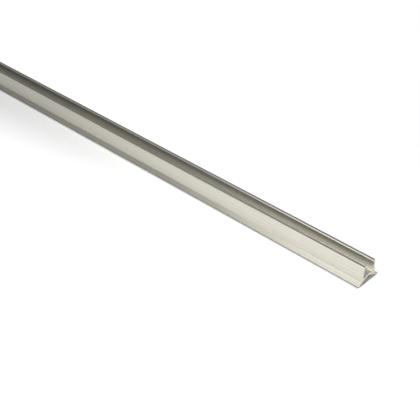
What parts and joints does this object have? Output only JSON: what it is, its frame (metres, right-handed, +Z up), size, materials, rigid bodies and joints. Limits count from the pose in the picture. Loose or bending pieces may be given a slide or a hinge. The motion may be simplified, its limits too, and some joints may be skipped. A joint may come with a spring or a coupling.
{
  "type": "extruded channel rail",
  "caption": "Straight extruded aluminium rail with a lipped channel open along its top, splayed feet and an arched underside, cut square at both ends.",
  "frame": {"origin": "on the floor plane, under the middle of the bar's length and the middle of its section", "axes": "+X along the bar, +Y across it to one wall, +Z up from the feet to the open slot"},
  "size_m": [1, 0.0166, 0.012],
  "materials": {
    "aluminium": "mill finish, fine die lines along the bar"
  },
  "bodies": {
    "root": {"extrusion": "aluminium"}
  },
  "joints": []
}
